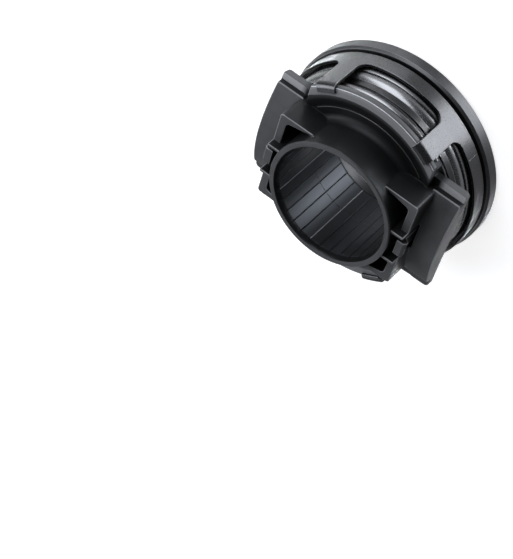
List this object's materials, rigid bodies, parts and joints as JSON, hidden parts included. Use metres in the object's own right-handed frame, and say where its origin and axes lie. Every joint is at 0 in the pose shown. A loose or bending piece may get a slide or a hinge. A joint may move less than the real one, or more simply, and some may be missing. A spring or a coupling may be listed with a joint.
{
  "type": "clutch release bearing",
  "caption": "Clutch release bearing: a ribbed nylon guide sleeve with fork pads carries a ball bearing in a steel clip, with a flat ring that presses on the clutch spring.",
  "frame": {"origin": "centre of the contact face, on the bearing axis, where the part stands", "axes": "+Z along the guide bore towards the sleeve's end; the fork pads lie on the X sides"},
  "size_m": [0.07, 0.07, 0.0355],
  "materials": {
    "sleeve_nylon": "glass-filled black nylon, satin, moulded",
    "clip_steel": "blackened sheet steel, satin with fine grain",
    "spring_steel": "plain spring steel",
    "ring_steel": "blackened bearing steel, semi-gloss",
    "seal_rubber": "black rubber",
    "contact_steel": "dark phosphated steel, matte with fine grain",
    "face_compound": "matte brown ring",
    "cage_nylon": "natural nylon",
    "ball_steel": "polished bearing steel"
  },
  "bodies": {
    "sleeve": {"guide_sleeve": "sleeve_nylon", "retaining_clip": "clip_steel"},
    "spring": {"spring_washer": "spring_steel"},
    "bearing": {"outer_ring": "ring_steel", "front_seal": "seal_rubber", "rear_seal": "seal_rubber"},
    "rotor": {"inner_ring": "ring_steel", "contact_ring": "contact_steel", "face_ring": "face_compound"},
    "cage": {"ball_cage": "cage_nylon", "ball_1": "ball_steel", "ball_2": "ball_steel", "ball_3": "ball_steel", "ball_4": "ball_steel", "ball_5": "ball_steel", "ball_6": "ball_steel", "ball_7": "ball_steel", "ball_8": "ball_steel", "ball_9": "ball_steel", "ball_10": "ball_steel", "ball_11": "ball_steel", "ball_12": "ball_steel", "ball_13": "ball_steel", "ball_14": "ball_steel", "ball_15": "ball_steel", "ball_16": "ball_steel", "ball_17": "ball_steel", "ball_18": "ball_steel"}
  },
  "joints": [
    {"name": "float_x", "type": "slide", "parent": "sleeve", "child": "spring", "axis": [1, 0, 0], "range_m": [-0.0004, 0.0004]},
    {"name": "float_y", "type": "slide", "parent": "spring", "child": "bearing", "axis": [0, 1, 0], "range_m": [-0.0004, 0.0004]},
    {"name": "ring_spin", "type": "hinge", "parent": "bearing", "child": "rotor", "pos_m": [0, 0, 0.01187], "axis": [0, 0, 1], "continuous": true},
    {"name": "cage_spin", "type": "hinge", "parent": "bearing", "child": "cage", "pos_m": [0, 0, 0.01187], "axis": [0, 0, 1], "continuous": true}
  ],
  "couplings": [
    {"joint": "cage_spin", "follows": "ring_spin", "ratio": 0.4408}
  ]
}
